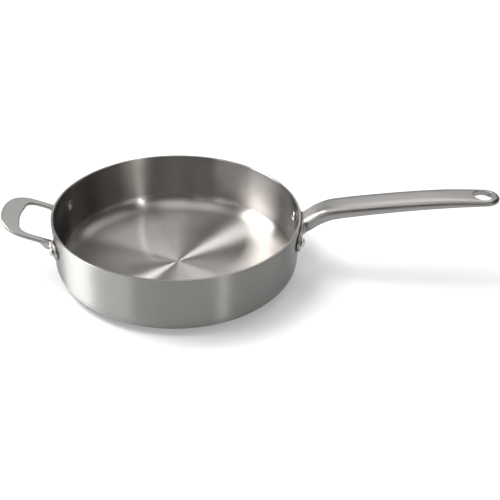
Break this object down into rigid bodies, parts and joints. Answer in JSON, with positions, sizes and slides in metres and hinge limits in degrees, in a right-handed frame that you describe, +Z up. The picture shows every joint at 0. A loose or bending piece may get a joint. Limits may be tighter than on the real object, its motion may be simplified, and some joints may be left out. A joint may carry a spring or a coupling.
{
  "type": "saute pan",
  "caption": "Straight-sided clad stainless saute pan with a long riveted cast handle, a hanging hole and a looped helper handle.",
  "frame": {"origin": "centre of the base's underside, where the pan stands on the hob", "axes": "+Z up along the pan's axis, +X along the long handle, the helper handle on the -X side"},
  "size_m": [0.5534, 0.28, 0.1031],
  "materials": {
    "outer_steel": "brushed round the pan",
    "core_aluminium": "cut edge, otherwise bonded between the skins",
    "cooking_steel": "brushed in circles",
    "cast_steel": "investment cast, bead blasted to satin",
    "rivet_steel": "polished heads"
  },
  "bodies": {
    "root": {"outer_skin": "outer_steel", "aluminium_core": "core_aluminium", "cooking_skin": "cooking_steel", "long_handle": "cast_steel", "helper_handle": "cast_steel", "long_handle_rivet_front": "rivet_steel", "long_handle_rivet_back": "rivet_steel", "helper_rivet_back": "rivet_steel", "helper_rivet_front": "rivet_steel"}
  },
  "joints": []
}
